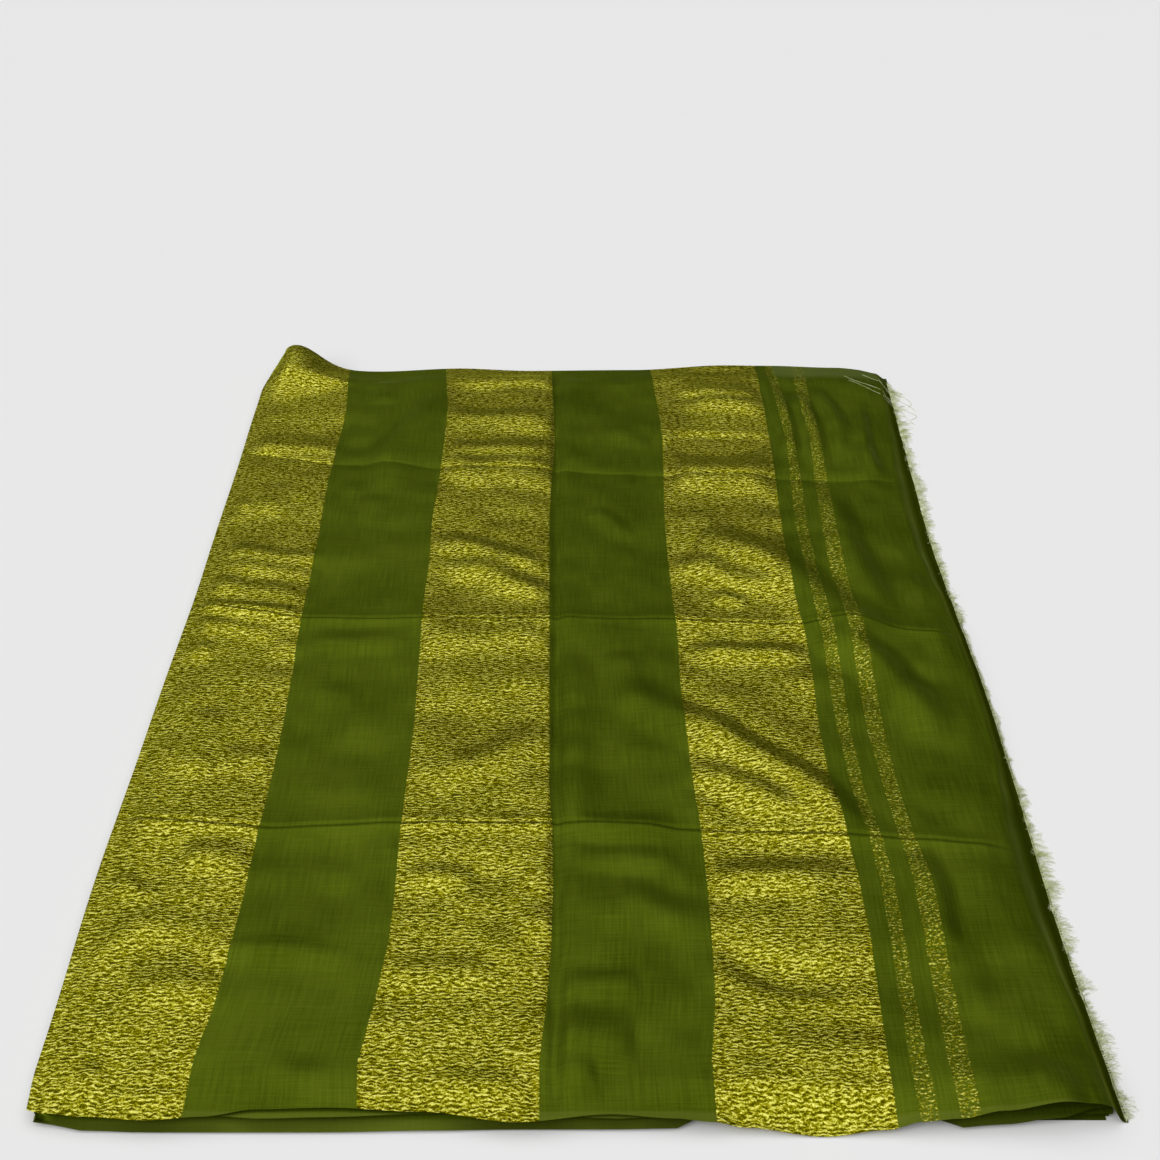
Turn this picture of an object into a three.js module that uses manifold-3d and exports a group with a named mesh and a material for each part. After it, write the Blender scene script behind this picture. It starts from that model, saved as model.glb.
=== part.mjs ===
// Tussar silk sari folded back and forth along its length and laid flat, its pallu on top.
// Millimetres. +X runs along the cloth's length, +Y across its width from the near selvedge
// to the far one, and +Z is up from the surface that the sari lies on.

import * as THREE from 'three';
import Module from 'manifold-3d';
import { mergeVertices } from 'three/addons/utils/BufferGeometryUtils.js';

// Cloth and stack
const THICKNESS = 1.0;
const HALF = THICKNESS / 2;
const LAYER_PITCH = 1.5;
const NEAR_Y = -547;
const FAR_Y = 547;
const FOLD_STEPS = 4;

// Layers from the top down: how far each stops short of the stack's near and far edges, its share of
// the near arch and of the raised far left corner, the side and inset of the fold or end that closes
// it, and how finely it is divided
const LAYERS = [
  { near: 0, far: -8, arch: 1, corner: 1, side: 'left', inset: 0, rows: 'fine', places: 'top' },
  { near: 1, far: 27, arch: 0.5, corner: 0.93, side: 'right', inset: 5, rows: 'medium', places: 'full' },
  { near: 0, far: 14, arch: 0.22, corner: 0.5, side: 'left', inset: 6, rows: 'medium', places: 'full' },
  { near: 14, far: 11, arch: 0, corner: 0.43, side: 'right', inset: 2, rows: 'medium', places: 'corner' },
  { near: 11, far: 6, arch: 0, corner: 0, side: 'left', inset: 3, rows: 'plain', places: 'plain' },
  { near: 14, far: 10, arch: 0, corner: 0, side: 'right', inset: 3, rows: 'plain', places: 'plain' },
  { near: 12, far: 4, arch: 0, corner: 0, side: 'left', inset: 8, rows: 'plain', places: 'plain' },
  { near: 10, far: 8, arch: 0, corner: 0, side: 'right', inset: 6, rows: 'plain', places: 'plain' },
];

// Slow wander of the folded ends along the width, and of the lower layers' far edges along X
const END_WANDER = [
  { height: 1.3, reach: 95, turn: 1.9 },
  { height: 0.8, reach: 41, turn: 0.7 },
];
const WANDER_SHARE = { left: 0.5, right: 0.6 };
const FAR_WANDER = { height: 1.2, reach: 70, turn: 1.7 };

// Left fold of the stack: its bulge outward, and how far its near and far corners round inward
const LEFT_X = -354;
const LEFT_BULGE = { outward: 3.2, atY: -330, halfWidth: 190 };
const NEAR_CORNER_ROUND = 3;
const NEAR_CORNER_OVER_Y = 45;
const CORNER_ROUND = 17;
const CORNER_ROUND_FROM_Y = 500;
const CORNER_ROUND_TO_Y = 561;

// Along the right side: the brow where the top layer drops off the stack, the cloth's cut end on
// the floor, and how far the loose threads reach beyond it
const RIGHT_SIDE = [
  { y: -547, browX: 342, endX: 350, threads: 8 },
  { y: -505, browX: 341, endX: 349, threads: 10 },
  { y: -460, browX: 339, endX: 348, threads: 11 },
  { y: -400, browX: 334, endX: 346.5, threads: 11 },
  { y: -340, browX: 328, endX: 346, threads: 11 },
  { y: -300, browX: 325, endX: 346.5, threads: 12 },
  { y: -261, browX: 326, endX: 347, threads: 13 },
  { y: -212, browX: 334, endX: 348, threads: 7 },
  { y: -160, browX: 340, endX: 348.5, threads: 5 },
  { y: -100, browX: 341, endX: 349, threads: 4 },
  { y: -48, browX: 340.5, endX: 348.5, threads: 4 },
  { y: 0, browX: 339, endX: 347, threads: 5 },
  { y: 67, browX: 335, endX: 345, threads: 8 },
  { y: 118, browX: 329, endX: 343.5, threads: 9 },
  { y: 160, browX: 325, endX: 342.5, threads: 11 },
  { y: 229, browX: 324, endX: 343, threads: 15 },
  { y: 311, browX: 327, endX: 345, threads: 12 },
  { y: 400, browX: 336, endX: 347, threads: 12 },
  { y: 480, browX: 340, endX: 349, threads: 16 },
  { y: 530, browX: 342, endX: 350, threads: 13 },
  { y: 547, browX: 342, endX: 350, threads: 9 },
];
const BROW_BACK = 5;
const BROW_FOOT = 6;

// The near edge of the three upper layers: how far each reaches out (+) or draws back (-), how high
// the top one lifts (+) or droops (-), and how far the third hangs over the layers under it
const NEAR_EDGE = [
  { x: -360, reach1: -11, rise1: -0.6, reach2: -13, reach3: -12, droop3: 0 },
  { x: -338, reach1: -6, rise1: 0, reach2: -13, reach3: -9, droop3: 0 },
  { x: -315, reach1: -3, rise1: 0.5, reach2: -13, reach3: 0, droop3: 6 },
  { x: -274, reach1: 0, rise1: 0.5, reach2: -11, reach3: 1, droop3: 6.5 },
  { x: -240, reach1: -3, rise1: 0.5, reach2: -5, reach3: 1, droop3: 6.5 },
  { x: -205, reach1: -9, rise1: 0.5, reach2: -2, reach3: 1, droop3: 6.5 },
  { x: -160, reach1: -10, rise1: 1, reach2: -3, reach3: 1, droop3: 6.5 },
  { x: -100, reach1: -7, rise1: 0.5, reach2: -6, reach3: 0, droop3: 6 },
  { x: -40, reach1: 1, rise1: 0, reach2: -8, reach3: -1, droop3: 6 },
  { x: 20, reach1: -5, rise1: 0.5, reach2: -2, reach3: -1, droop3: 6 },
  { x: 60, reach1: -2, rise1: 0, reach2: -4, reach3: -1, droop3: 5 },
  { x: 84, reach1: 0, rise1: -1, reach2: -11, reach3: -9, droop3: 0 },
  { x: 104, reach1: 1, rise1: -5, reach2: -17, reach3: -15, droop3: 0 },
  { x: 155, reach1: 4, rise1: -10, reach2: -19, reach3: -18, droop3: 0 },
  { x: 195, reach1: 2, rise1: -6, reach2: -18, reach3: -16, droop3: 0 },
  { x: 216, reach1: 0, rise1: -1, reach2: -12, reach3: -9, droop3: 0 },
  { x: 240, reach1: -1, rise1: 1, reach2: -5, reach3: -1, droop3: 4.5 },
  { x: 268, reach1: -3, rise1: 6, reach2: -5, reach3: -3, droop3: 5 },
  { x: 308, reach1: -5, rise1: 12, reach2: -8, reach3: -6, droop3: 3 },
  { x: 326, reach1: -8, rise1: 7, reach2: -13, reach3: -11, droop3: 0 },
  { x: 350, reach1: -8, rise1: 0, reach2: -18, reach3: -16, droop3: 0 },
];
const LIFT_DEPTH = 62;
const DROOP_DEPTH = 34;
const THIRD_DROOP_DEPTH = 8;

// The far edge of the top layer: it crests a little inside its edge and falls away behind
const FAR_EDGE = [
  { x: -360, reach: 0, rise: 0 },
  { x: -230, reach: -3, rise: 0 },
  { x: -136, reach: 1, rise: 2 },
  { x: -60, reach: -2, rise: 0.5 },
  { x: 60, reach: 1, rise: 0 },
  { x: 165, reach: 4, rise: 4.5 },
  { x: 215, reach: 6, rise: 3 },
  { x: 290, reach: 3, rise: 2 },
  { x: 345, reach: -4, rise: 0 },
];
const FAR_CREST_INSIDE = 46;
const FAR_FALL = 4.4;
const FAR_RISE_DEPTH = 90;

// The far left corner, lifted where the first fold springs open
const CORNER = { x: -325, height: 21, back: 15, leftWidth: 27, rightWidth: 38, fromY: 462, overY: 95 };

// Slack of the top layer over the stack, which the creases and troughs use up
const SLACK = 1.8;
const DEEPEST = -0.25;
const SLACK_FADE = 26;
const EDGE_FADE = 40;

// Storage creases that quarter the width, from near to far. Each runs left to right through the
// points, is a ridge (+) or a valley (-), and falls off over the near and far lengths
const CREASES = [
  {
    height: 1.9,
    nearLength: 13,
    farLength: 9,
    points: [[-360, -252], [-236, -266], [-137, -260], [-20, -260], [91, -268], [204, -275], [350, -288]],
  },
  {
    height: 2.2,
    nearLength: 14,
    farLength: 9,
    points: [[-360, 54], [-300, 36], [-250, 24], [-24, 25], [90, 24], [249, 11], [350, -1]],
  },
  {
    height: -2,
    nearLength: 24,
    farLength: 12,
    points: [[-360, 352], [-259, 324], [-144, 313], [-28, 309], [122, 294], [244, 290], [350, 286]],
  },
];

// The crease along the middle of the stack: a valley with a soft roll to its right
const MIDDLE_CREASE = { nearX: -20, farX: -31, depth: 1.1, width: 6 };
const MIDDLE_ROLL = { at: 12, height: 1, width: 11 };

// Soft diagonal folds of the top layer. Each follows its points, has its height at the middle, and
// is gentle on its near side and steeper on its far side
const SOFT_FOLDS = [
  {
    height: 5.4,
    near: 26,
    far: 13,
    points: [[50, -66], [80, -106], [106, -129], [147, -173], [183, -207], [206, -243], [230, -280]],
  },
  { height: 3.2, near: 20, far: 12, points: [[84, -180], [107, -194], [146, -225], [178, -256]] },
  {
    height: 6,
    near: 28,
    far: 17,
    points: [[86, 184], [120, 186], [157, 157], [190, 125], [204, 107], [232, 56], [260, 8], [290, -66]],
  },
  { height: 4.6, near: 22, far: 13, points: [[188, 16], [213, -26], [238, -60], [259, -112], [276, -172]] },
  { height: 3.2, near: 22, far: 14, points: [[80, 134], [138, 105], [186, 74]] },
  { height: 2.4, near: 24, far: 18, points: [[-145, -195], [-95, -165], [-40, -110]] },
  { height: 2.2, near: 22, far: 18, points: [[-140, 150], [-85, 120], [-30, 95]] },
  { height: 2.8, near: 26, far: 20, points: [[20, -350], [85, -392], [150, -410], [200, -428]] },
  { height: 2.6, near: 26, far: 20, points: [[-232, 400], [-205, 320], [-190, 230]] },
  { height: 2.4, near: 24, far: 18, points: [[-350, -300], [-300, -345], [-230, -362]] },
  { height: 2.2, near: 22, far: 18, points: [[-350, 40], [-310, -10], [-296, -60]] },
];
const FOLD_PATH_STEPS = 4;
const FOLD_END_SHARE = 0.08;

// Rows across the width. A row at 1.25 lies a quarter of the way from crease 1 to crease 2; the near
// edge is 0, the three creases are 1, 2 and 3, and the far edge is 4
const LAST_ROW = CREASES.length + 1;
const ROWS = {
  fine: [
    0, 0.014, 0.032, 0.062, 0.12, 0.21, 0.32, 0.44, 0.57, 0.7, 0.83, 0.94,
    1, 1.06, 1.16, 1.28, 1.41, 1.54, 1.67, 1.8, 1.93,
    2, 2.06, 2.16, 2.28, 2.41, 2.54, 2.67, 2.8, 2.93,
    3, 3.08, 3.22, 3.4, 3.58, 3.72, 3.84, 3.93, 4,
  ],
  medium: [
    0, 0.014, 0.032, 0.08, 0.25, 0.5, 0.75, 1, 1.33, 1.67, 2, 2.33, 2.67, 3, 3.3, 3.55, 3.72, 3.84, 3.93, 4,
  ],
  plain: [0, 0.1, 0.5, 1, 1.5, 2, 2.5, 3, 3.5, 4],
};

// Columns of the top layer: from the left fold, shares of the halves beside the middle crease, about
// that crease, from the brow, and shares of the flap from the brow's foot to the cut end
const FROM_LEFT = [5, 13, 27];
const LEFT_SHARES = [0.1, 0.22, 0.34, 0.46, 0.58, 0.7, 0.81, 0.91];
const ABOUT_MIDDLE = [-7, 0, 6, 13, 27];
const RIGHT_SHARES = [0.08, 0.16, 0.24, 0.32, 0.4, 0.48, 0.56, 0.64, 0.72, 0.8, 0.88, 0.95];
const FROM_BROW = [-14, -6, -2.5, 0, 2.5, 6];
const FLAP_SHARES = [0.5, 1];

// Columns of the lower layers: from the layer's left end, at an X, and before its right end
const PLACES = {
  full: {
    fromLeft: [13, 30, 50, 80],
    at: [-240, -195, -130, -40, 20, 60, 84, 104, 155, 195, 216, 240, 268, 306],
    beforeRight: [9],
  },
  corner: { fromLeft: [13, 30, 50, 80], at: [0], beforeRight: [14] },
  plain: { fromLeft: [14], at: [0], beforeRight: [14] },
};

// Fringe
const STRIP_GAP = 0.35;
const STRIP_WIDTH = 3.2;
const STRIP_STEPS = 44;
const STRIP_END_INSET = 1;
const THREAD_PITCH = 6.2;
const THREAD_WIDTH = 1.1;
const THREAD_HEIGHT = 0.85;
const THREAD_ROOT = 1.4;
const THREAD_STEPS = 2;
const SHORTEST_THREAD = 2.5;
const THREAD_TAPER = 0.45;

// How the loose threads differ: sums of waves over the threads' order
const THREAD_WAVES = {
  place: { mean: 0, waves: [{ height: 1.6, turn: 12.9 }] },
  length: { mean: 0.75, waves: [{ height: 0.34, turn: 2.4 }, { height: 0.2, turn: 0.71 }] },
  swing: { mean: 0, waves: [{ height: 0.34, turn: 0.37 }, { height: 0.16, turn: 1.7 }] },
  bend: { mean: 0, waves: [{ height: 0.22, turn: 0.53 }] },
};

const TUSSAR_GREEN = 0x4a5a0c;
const FRINGE_GREEN = 0xa9b27a;
const SILK_ROUGHNESS = 0.6;
const THREAD_ROUGHNESS = 0.8;

function smooth(edgeLow, edgeHigh, value) {
  return THREE.MathUtils.smoothstep(value, edgeLow, edgeHigh);
}

// Value of a named column at a place between the rows of a table, eased between them
function alongTable(table, key, column, place) {
  if (place <= table[0][key]) return table[0][column];
  for (let i = 1; i < table.length; i += 1) {
    const low = table[i - 1];
    const high = table[i];
    if (place <= high[key]) {
      const share = smooth(low[key], high[key], place);
      return THREE.MathUtils.lerp(low[column], high[column], share);
    }
  }
  return table.at(-1)[column];
}

// Y of a crease at an X
function creaseY({ points }, x) {
  for (let i = 1; i < points.length; i += 1) {
    if (x <= points[i][0] || i === points.length - 1) {
      const share = (x - points[i - 1][0]) / (points[i][0] - points[i - 1][0]);
      return THREE.MathUtils.lerp(points[i - 1][1], points[i][1], share);
    }
  }
  return points[0][1];
}

function wander({ height, reach, turn }, place, layer) {
  return height * Math.sin(place / reach + layer * turn);
}

function browX(y) {
  return alongTable(RIGHT_SIDE, 'y', 'browX', y);
}

function middleX(y) {
  return THREE.MathUtils.mapLinear(y, NEAR_Y, FAR_Y, MIDDLE_CREASE.nearX, MIDDLE_CREASE.farX);
}

// X of the stack's left side at a Y
function leftX(y) {
  const bulge = LEFT_BULGE.outward * bell(y - LEFT_BULGE.atY, LEFT_BULGE.halfWidth);
  return LEFT_X - bulge + NEAR_CORNER_ROUND * (1 - smooth(NEAR_Y, NEAR_Y + NEAR_CORNER_OVER_Y, y));
}

// X of the fold or end that closes a layer, at a Y
function closingX(layer, y) {
  const { side, inset, corner } = LAYERS[layer];
  const wandering = WANDER_SHARE[side] * END_WANDER.reduce((sum, wave) => sum + wander(wave, y, layer), 0);
  if (side === 'right') return browX(y) - inset + wandering;
  const rounding = CORNER_ROUND * corner * smooth(CORNER_ROUND_FROM_Y, CORNER_ROUND_TO_Y, y);
  return leftX(y) + inset + rounding + wandering;
}

function bell(distance, width) {
  return Math.exp(-((distance / width) ** 2));
}

// How far the far left corner acts at an X
function cornerBell(x) {
  return bell(x - CORNER.x, x < CORNER.x ? CORNER.leftWidth : CORNER.rightWidth);
}

// How far the corner lift acts at a place
function cornerShare(x, y) {
  return cornerBell(x) * smooth(CORNER.fromY, CORNER.fromY + CORNER.overY, y);
}

function nearEdgeY(layer, x) {
  const edge = NEAR_Y + LAYERS[layer].near;
  const column = `reach${layer + 1}`;
  return column in NEAR_EDGE[0] ? edge - alongTable(NEAR_EDGE, 'x', column, x) : edge;
}

function farEdgeY(layer, x) {
  const { far, corner } = LAYERS[layer];
  const wave = layer === 0 ? alongTable(FAR_EDGE, 'x', 'reach', x) : wander(FAR_WANDER, x, layer);
  return FAR_Y - far + wave + CORNER.back * corner * cornerBell(x);
}

// Y of a grid row at an X: rows follow the edges and the creases
function rowY(layer, x, row) {
  const guides = [nearEdgeY(layer, x), ...CREASES.map((crease) => creaseY(crease, x)), farEdgeY(layer, x)];
  const below = Math.min(Math.floor(row), LAST_ROW - 1);
  return THREE.MathUtils.lerp(guides[below], guides[below + 1], row - below);
}

// Nearest place on a soft fold's smooth path: signed distance, far side positive, and share along it
function nearestOnPath(path, x, y) {
  let best = { distance: Infinity, share: 0 };
  for (let i = 1; i < path.length; i += 1) {
    const [ax, ay] = [path[i - 1].x, path[i - 1].y];
    const [dx, dy] = [path[i].x - ax, path[i].y - ay];
    const t = THREE.MathUtils.clamp(((x - ax) * dx + (y - ay) * dy) / (dx * dx + dy * dy), 0, 1);
    const [px, py] = [x - ax - t * dx, y - ay - t * dy];
    const distance = Math.hypot(px, py);
    if (distance < Math.abs(best.distance)) {
      const side = dx * py - dy * px >= 0 ? 1 : -1;
      best = { distance: side * distance, share: (i - 1 + t) / (path.length - 1) };
    }
  }
  return best;
}

const foldPaths = SOFT_FOLDS.map(({ points }) => {
  const curve = new THREE.SplineCurve(points.map(([x, y]) => new THREE.Vector2(x, y)));
  return curve.getPoints(points.length * FOLD_PATH_STEPS);
});

function softFoldHeight(x, y) {
  let height = 0;
  SOFT_FOLDS.forEach((fold, index) => {
    const { distance, share } = nearestOnPath(foldPaths[index], x, y);
    const width = distance > 0 ? fold.far : fold.near;
    const taper = Math.sin(Math.PI * THREE.MathUtils.lerp(FOLD_END_SHARE, 1 - FOLD_END_SHARE, share));
    height += fold.height * taper * bell(distance, width);
  });
  return height;
}

function creaseHeight(x, y) {
  let height = 0;
  for (const crease of CREASES) {
    const distance = y - creaseY(crease, x);
    const length = distance > 0 ? crease.farLength : crease.nearLength;
    height += crease.height * Math.exp(-Math.abs(distance) / length);
  }
  const fromMiddle = x - middleX(y);
  height -= MIDDLE_CREASE.depth * bell(fromMiddle, MIDDLE_CREASE.width);
  height += MIDDLE_ROLL.height * bell(fromMiddle - MIDDLE_ROLL.at, MIDDLE_ROLL.width);
  return height;
}

// Height of the top layer's middle surface over its nominal height, before it drops off the stack
function topRelief(x, y) {
  const onRight = 1 - smooth(browX(y) - SLACK_FADE, browX(y), x);
  const inside = smooth(LEFT_X, LEFT_X + SLACK_FADE, x) * onRight;
  const fromNear = y - nearEdgeY(0, x);
  const fromFar = farEdgeY(0, x) - y;
  const rise = alongTable(NEAR_EDGE, 'x', 'rise1', x);
  const depth = rise > 0 ? LIFT_DEPTH : DROOP_DEPTH;
  const awayFromEdges = smooth(0, EDGE_FADE, fromNear) * smooth(0, EDGE_FADE, fromFar);
  const slack = SLACK * inside * smooth(0, DROOP_DEPTH, fromNear);
  const folds = inside * awayFromEdges * (creaseHeight(x, y) + softFoldHeight(x, y));
  let relief = Math.max(slack + folds, DEEPEST);
  relief += rise * (1 - smooth(0, depth, fromNear));
  relief += alongTable(FAR_EDGE, 'x', 'rise', x) * (1 - smooth(0, FAR_RISE_DEPTH, fromFar));
  relief -= FAR_FALL * (1 - smooth(0, FAR_CREST_INSIDE, fromFar)) * (1 - cornerShare(x, y));
  return relief;
}

// Height of a layer's middle surface
function layerZ(layer, x, y) {
  const nominal = HALF + (LAYERS.length - 1 - layer) * LAYER_PITCH;
  const { arch, corner } = LAYERS[layer];
  const lift = CORNER.height * corner * cornerShare(x, y);
  const fromNear = y - nearEdgeY(layer, x);
  if (layer === 0) {
    const onStack = nominal + topRelief(x, y) + lift;
    const brow = browX(y);
    return THREE.MathUtils.lerp(onStack, HALF, smooth(brow - BROW_BACK, brow + BROW_FOOT, x));
  }
  const rise = Math.max(0, alongTable(NEAR_EDGE, 'x', 'rise1', x));
  const archLift = arch * rise * (1 - smooth(0, LIFT_DEPTH, fromNear));
  const column = `droop${layer + 1}`;
  const hang = column in NEAR_EDGE[0] ? alongTable(NEAR_EDGE, 'x', column, x) : 0;
  const droop = hang * (1 - smooth(0, THIRD_DROOP_DEPTH, fromNear));
  return nominal + archLift + lift - droop;
}

// A point of a layer's middle surface on a grid row, at an X that may depend on Y
function layerPoint(layer, row, xAtY) {
  let x = xAtY(THREE.MathUtils.lerp(NEAR_Y, FAR_Y, row / LAST_ROW));
  const y = rowY(layer, x, row);
  x = xAtY(y);
  return new THREE.Vector3(x, y, layerZ(layer, x, y));
}

// The cut end of the top layer
function endX(y) {
  return alongTable(RIGHT_SIDE, 'y', 'endX', y);
}

const between = (share, low, high) => (y) => THREE.MathUtils.lerp(low(y), high(y), share);

// Columns of the top layer from its cut end to its left fold, as functions that give X at a Y
function topPlaces() {
  const left = (y) => closingX(0, y);
  const foot = (y) => browX(y) + FROM_BROW.at(-1);
  const leftPart = [(y) => left(y) + FROM_LEFT.at(-1), (y) => middleX(y) + ABOUT_MIDDLE[0]];
  const rightPart = [(y) => middleX(y) + ABOUT_MIDDLE.at(-1), (y) => browX(y) + FROM_BROW[0]];
  return [
    ...FROM_LEFT.map((offset) => (y) => left(y) + offset),
    ...LEFT_SHARES.map((share) => between(share, ...leftPart)),
    ...ABOUT_MIDDLE.map((offset) => (y) => middleX(y) + offset),
    ...RIGHT_SHARES.map((share) => between(share, ...rightPart)),
    ...FROM_BROW.map((offset) => (y) => browX(y) + offset),
    ...FLAP_SHARES.map((share) => between(share, foot, endX)),
  ].reverse();
}

// Columns of a lower layer, in the direction that the cloth runs there
function lowerPlaces(layer) {
  const { fromLeft, at, beforeRight } = PLACES[LAYERS[layer].places];
  const closesLeft = LAYERS[layer].side === 'left';
  const left = (y) => closingX(closesLeft ? layer : layer - 1, y);
  const right = (y) => closingX(closesLeft ? layer - 1 : layer, y);
  const places = [
    ...fromLeft.map((offset) => (y) => left(y) + offset),
    ...at.map((x) => () => x),
    ...beforeRight.map((offset) => (y) => right(y) - offset),
  ];
  return closesLeft ? places.reverse() : places;
}

// Columns of the middle surface from the cut end on top down to the end of the lowest layer. Each
// column has its rows and a function that gives its point on a row
function clothColumns() {
  const columns = [];
  LAYERS.forEach(({ rows }, layer) => {
    const places = layer === 0 ? topPlaces() : lowerPlaces(layer);
    for (const xAtY of places) {
      columns.push({ rows: ROWS[rows], at: (row) => layerPoint(layer, row, xAtY) });
    }
    if (layer < LAYERS.length - 1) columns.push(...foldColumns(layer));
  });
  const last = LAYERS.length - 1;
  const lastEnd = (y) => closingX(last, y);
  columns.push({ rows: ROWS[LAYERS[last].rows], at: (row) => layerPoint(last, row, lastEnd) });
  return columns;
}

// Half-round fold that joins a layer to the one under it
function foldColumns(upper) {
  const outward = LAYERS[upper].side === 'left' ? -1 : 1;
  const foldX = (y) => closingX(upper, y);
  const columns = [];
  for (let step = 0; step <= FOLD_STEPS; step += 1) {
    const angle = Math.PI * (step / FOLD_STEPS);
    const at = (row) => {
      const high = layerPoint(upper, row, foldX);
      const low = layerPoint(upper + 1, row, foldX);
      const radius = (high.z - low.z) / 2;
      const share = (1 - Math.cos(angle)) / 2;
      const point = new THREE.Vector3().lerpVectors(high, low, share);
      point.x += outward * radius * (Math.sin(angle) - 1);
      return point;
    };
    columns.push({ rows: ROWS[LAYERS[upper + 1].rows], at });
  }
  return columns;
}

// Closed sheet of even thickness on both sides of a middle surface given in columns
function sheetGeometry(columns, thickness) {
  const middle = columns.map(({ rows, at }) => rows.map(at));
  const positions = [];
  const skins = [1, -1].map((sign) => middle.map((column, i) => column.map((point, j) => {
    const normal = surfaceNormal(columns, middle, i, j);
    const place = point.clone().addScaledVector(normal, (sign * thickness) / 2);
    place.z = Math.max(place.z, 0);
    positions.push(place.x, place.y, place.z);
    return positions.length / 3 - 1;
  })));

  const triangles = [];
  const face = (a, b, c, flipped) => triangles.push(...(flipped ? [a, c, b] : [a, b, c]));
  skins.forEach((skin, side) => {
    const skinFace = (a, b, c) => face(a, b, c, side === 1);
    for (let i = 1; i < skin.length; i += 1) {
      joinColumns(skin[i - 1], skin[i], columns[i - 1].rows, columns[i].rows, skinFace);
    }
  });
  const [top, under] = skins;
  const rim = (a, b, c, d) => {
    face(a, b, c, false);
    face(a, c, d, false);
  };
  for (let i = 1; i < top.length; i += 1) {
    rim(top[i - 1][0], top[i][0], under[i][0], under[i - 1][0]);
    rim(top[i].at(-1), top[i - 1].at(-1), under[i - 1].at(-1), under[i].at(-1));
  }
  const closeEnd = (upper, lower, flipped) => {
    for (let j = 1; j < upper.length; j += 1) {
      face(upper[j], upper[j - 1], lower[j - 1], flipped);
      face(upper[j], lower[j - 1], lower[j], flipped);
    }
  };
  closeEnd(top[0], under[0], false);
  closeEnd(top.at(-1), under.at(-1), true);

  const geometry = new THREE.BufferGeometry();
  geometry.setAttribute('position', new THREE.Float32BufferAttribute(positions, 3));
  geometry.setIndex(triangles);
  return geometry;
}

// Unit normal of the middle surface at a column and row, from its neighbours
function surfaceNormal(columns, middle, i, j) {
  const row = columns[i].rows[j];
  const before = Math.max(i - 1, 0);
  const after = Math.min(i + 1, columns.length - 1);
  const along = columns[after].at(row).sub(columns[before].at(row));
  const column = middle[i];
  const across = column[Math.min(j + 1, column.length - 1)].clone().sub(column[Math.max(j - 1, 0)]);
  return across.cross(along).normalize();
}

// Triangles between two columns that may have different rows
function joinColumns(first, second, firstRows, secondRows, addFace) {
  let [i, j] = [0, 0];
  while (i < first.length - 1 || j < second.length - 1) {
    const secondDone = j === second.length - 1;
    if (secondDone || (i < first.length - 1 && firstRows[i + 1] < secondRows[j + 1])) {
      addFace(first[i], first[i + 1], second[j]);
      i += 1;
    } else {
      addFace(first[i], second[j + 1], second[j]);
      j += 1;
    }
  }
}

const wasm = await Module();
wasm.setup();

function toManifold(geometry) {
  const bare = geometry.index ? geometry.toNonIndexed() : geometry.clone();
  bare.deleteAttribute('normal');
  bare.deleteAttribute('uv');
  const merged = mergeVertices(bare);
  const mesh = new wasm.Mesh({
    numProp: 3,
    vertProperties: new Float32Array(merged.attributes.position.array),
    triVerts: new Uint32Array(merged.index.array),
  });
  return new wasm.Manifold(mesh);
}

function toGeometry(manifold) {
  const mesh = manifold.getMesh();
  const geometry = new THREE.BufferGeometry();
  const positions = new Float32Array(mesh.vertProperties);
  geometry.setAttribute('position', new THREE.BufferAttribute(positions, 3));
  geometry.setIndex(new THREE.BufferAttribute(new Uint32Array(mesh.triVerts), 1));
  return geometry;
}

// The strip's Y range, a little within the cut end's
const stripNearY = layerPoint(0, ROWS.fine[0], endX).y + STRIP_END_INSET;
const stripFarY = layerPoint(0, ROWS.fine.at(-1), endX).y - STRIP_END_INSET;

// Narrow strip just outside the cut end, lying on the floor, that holds the loose threads
function stripGeometry() {
  const columnAt = (offset) => ({
    rows: Array.from({ length: STRIP_STEPS + 1 }, (_, step) => step / STRIP_STEPS),
    at: (row) => {
      const y = THREE.MathUtils.lerp(stripNearY, stripFarY, row);
      return new THREE.Vector3(endX(y) + offset, y, HALF);
    },
  });
  return sheetGeometry([columnAt(STRIP_GAP + STRIP_WIDTH), columnAt(STRIP_GAP)], THICKNESS);
}

function threadValue(name, index) {
  const { mean, waves } = THREAD_WAVES[name];
  return waves.reduce((sum, wave) => sum + wave.height * Math.sin(index * wave.turn), mean);
}

// One loose thread: a three-sided tapering strand that lies level on the floor
function threadGeometry(y, length, swing, bend) {
  const positions = [];
  const rootX = endX(y) + STRIP_GAP + STRIP_WIDTH - THREAD_ROOT;
  for (let step = 0; step <= THREAD_STEPS; step += 1) {
    const share = step / THREAD_STEPS;
    const angle = swing + bend * share;
    const out = share * (length + THREAD_ROOT);
    const centre = new THREE.Vector2(rootX + out * Math.cos(angle), y + out * Math.sin(angle));
    const half = (THREAD_WIDTH / 2) * (1 - THREAD_TAPER * share);
    const side = new THREE.Vector2(-Math.sin(angle), Math.cos(angle)).multiplyScalar(half);
    positions.push(centre.x - side.x, centre.y - side.y, 0);
    positions.push(centre.x + side.x, centre.y + side.y, 0);
    positions.push(centre.x, centre.y, THREAD_HEIGHT * (1 - THREAD_TAPER * share));
  }
  const triangles = [0, 2, 1];
  for (let step = 0; step < THREAD_STEPS; step += 1) {
    for (let corner = 0; corner < 3; corner += 1) {
      const [a, b] = [step * 3 + corner, step * 3 + ((corner + 1) % 3)];
      triangles.push(a, b, b + 3, a, b + 3, a + 3);
    }
  }
  const tip = THREAD_STEPS * 3;
  triangles.push(tip, tip + 1, tip + 2);
  const geometry = new THREE.BufferGeometry();
  geometry.setAttribute('position', new THREE.Float32BufferAttribute(positions, 3));
  geometry.setIndex(triangles);
  return geometry;
}

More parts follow.
